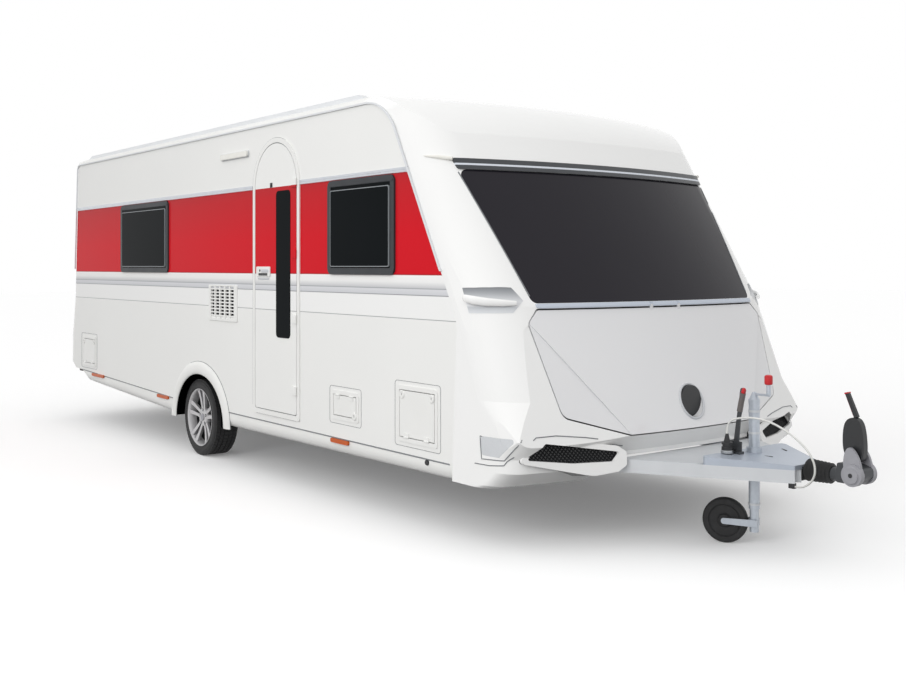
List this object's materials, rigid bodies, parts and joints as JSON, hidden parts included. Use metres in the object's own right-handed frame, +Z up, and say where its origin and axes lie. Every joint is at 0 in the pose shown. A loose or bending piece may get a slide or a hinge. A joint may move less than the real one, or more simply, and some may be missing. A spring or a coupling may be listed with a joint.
{
  "type": "travel caravan",
  "caption": "Long single-axle travel caravan with a raked front window, gas locker lid, side door, alloy wheels, A-frame drawbar, ball coupling and jockey wheel, parked level.",
  "frame": {"origin": "on the ground, under the middle of the box", "axes": "+X forward to the coupling, +Y to the left side, +Z up"},
  "size_m": [8.509, 2.544, 2.661],
  "materials": {
    "body_white": "gloss white",
    "moulding_white": "gloss white",
    "lid_white": "gloss pale grey white",
    "frame_grey": "satin dark grey",
    "dark_glass": "gloss tinted acrylic",
    "rail_aluminium": "satin anodised",
    "galvanised": "galvanised",
    "drawbar_paint": "satin pale grey",
    "floor_board": "sealed underside",
    "tub_black": "matte black",
    "tyre_rubber": "matte",
    "wheel_alloy": "satin silver lacquer",
    "black_plastic": "matte black",
    "coupling_grey": "painted grey",
    "black_rubber": "matte",
    "lamp_amber": "amber lens",
    "lamp_clear": "clear lens",
    "cable_sheath": "pale grey sheath",
    "panel_core": "inner lining"
  },
  "bodies": {
    "caravan": {"axle_arms": "coupling_grey", "axle_beam": "galvanised", "bumper_inserts": "black_plastic", "cable": "cable_sheath", "cable_holders": "galvanised", "chassis_rails": "galvanised", "coupling_handle": "black_plastic", "coupling_head": "coupling_grey", "cross_members": "galvanised", "door_frame": "body_white", "drawbar_cover": "rail_aluminium", "drawbar_deck": "drawbar_paint", "drawbar_rails": "drawbar_paint", "end_lamps": "lamp_clear", "floor_panel": "floor_board", "front_panel": "moulding_white", "front_window": "dark_glass", "gaiter": "black_rubber", "grab_handles": "moulding_white", "handbrake": "galvanised", "hatch_frames": "body_white", "jockey_clamp": "galvanised", "jockey_tube": "galvanised", "locker_bulkhead": "panel_core", "overrun_housing": "coupling_grey", "plug": "black_plastic", "rear_panel": "moulding_white", "roof_hatches": "moulding_white", "roof_panel": "body_white", "side_lamps": "lamp_amber", "side_rails": "rail_aluminium", "side_wall_left": "body_white", "side_wall_right": "body_white", "skirts": "body_white", "stabiliser_pads": "coupling_grey", "vent_grille": "moulding_white", "wheel_tubs": "tub_black", "window_frames": "frame_grey", "window_panes": "dark_glass", "window_rails": "rail_aluminium"},
    "door": {"door_panel": "body_white", "door_window": "dark_glass", "door_handle": "moulding_white"},
    "locker_lid": {"locker_lid": "lid_white", "lid_latch": "black_plastic"},
    "front_hatch": {"front_hatch": "body_white"},
    "rear_hatch": {"rear_hatch": "body_white"},
    "filler_flap": {"filler_flap": "body_white"},
    "wheel_right": {"tyre_right": "tyre_rubber", "wheel_right": "wheel_alloy"},
    "wheel_left": {"tyre_left": "tyre_rubber", "wheel_left": "wheel_alloy"},
    "jockey_leg": {"jockey_leg": "galvanised"},
    "jockey_fork": {"jockey_fork": "galvanised"},
    "jockey_wheel": {"jockey_wheel": "black_rubber"},
    "steady_rear_right": {"steady_rear_right": "galvanised"},
    "steady_rear_left": {"steady_rear_left": "galvanised"},
    "steady_front_right": {"steady_front_right": "galvanised"},
    "steady_front_left": {"steady_front_left": "galvanised"}
  },
  "joints": [
    {"name": "wheel_right_spin", "type": "hinge", "parent": "caravan", "child": "wheel_right", "pos_m": [-1.0355, -1.1075, 0.311], "axis": [0, 1, 0], "continuous": true},
    {"name": "wheel_left_spin", "type": "hinge", "parent": "caravan", "child": "wheel_left", "pos_m": [-1.0355, 1.1075, 0.311], "axis": [0, 1, 0], "continuous": true},
    {"name": "door_hinge", "type": "hinge", "parent": "caravan", "child": "door", "pos_m": [0.6615, -1.266, 1.405], "axis": [0, 0, 1], "range_deg": [0, 160]},
    {"name": "locker_lid_hinge", "type": "hinge", "parent": "caravan", "child": "locker_lid", "pos_m": [2.90071, 0, 1.326], "axis": [0, -1, 0], "range_deg": [0, 65]},
    {"name": "front_hatch_hinge", "type": "hinge", "parent": "caravan", "child": "front_hatch", "pos_m": [2.089, -1.2593, 0.5225], "axis": [1, 0, 0], "range_deg": [0, 90]},
    {"name": "rear_hatch_hinge", "type": "hinge", "parent": "caravan", "child": "rear_hatch", "pos_m": [-3.5355, -1.2593, 0.5875], "axis": [1, 0, 0], "range_deg": [0, 90]},
    {"name": "filler_flap_hinge", "type": "hinge", "parent": "caravan", "child": "filler_flap", "pos_m": [1.2855, -1.2593, 0.7065], "axis": [-1, 0, 0], "range_deg": [0, 100]},
    {"name": "jockey_lift", "type": "slide", "parent": "caravan", "child": "jockey_leg", "axis": [0, 0, 1], "range_m": [-0.15, 0.05]},
    {"name": "jockey_swivel", "type": "hinge", "parent": "jockey_leg", "child": "jockey_fork", "pos_m": [3.5525, 0, 0.12], "axis": [0, 0, 1], "continuous": true},
    {"name": "jockey_spin", "type": "hinge", "parent": "jockey_fork", "child": "jockey_wheel", "pos_m": [3.40809, -0.06888, 0.126], "axis": [0.4305, -0.9026, 0], "continuous": true},
    {"name": "steady_rear_right_swing", "type": "hinge", "parent": "caravan", "child": "steady_rear_right", "pos_m": [-3.4855, -0.7, 0.4], "axis": [0, 1, 0], "range_deg": [0, 46]},
    {"name": "steady_rear_left_swing", "type": "hinge", "parent": "caravan", "child": "steady_rear_left", "pos_m": [-3.4855, 0.7, 0.4], "axis": [0, 1, 0], "range_deg": [0, 46]},
    {"name": "steady_front_right_swing", "type": "hinge", "parent": "caravan", "child": "steady_front_right", "pos_m": [2.0445, -0.7, 0.4], "axis": [0, -1, 0], "range_deg": [0, 46]},
    {"name": "steady_front_left_swing", "type": "hinge", "parent": "caravan", "child": "steady_front_left", "pos_m": [2.0445, 0.7, 0.4], "axis": [0, -1, 0], "range_deg": [0, 46]}
  ]
}
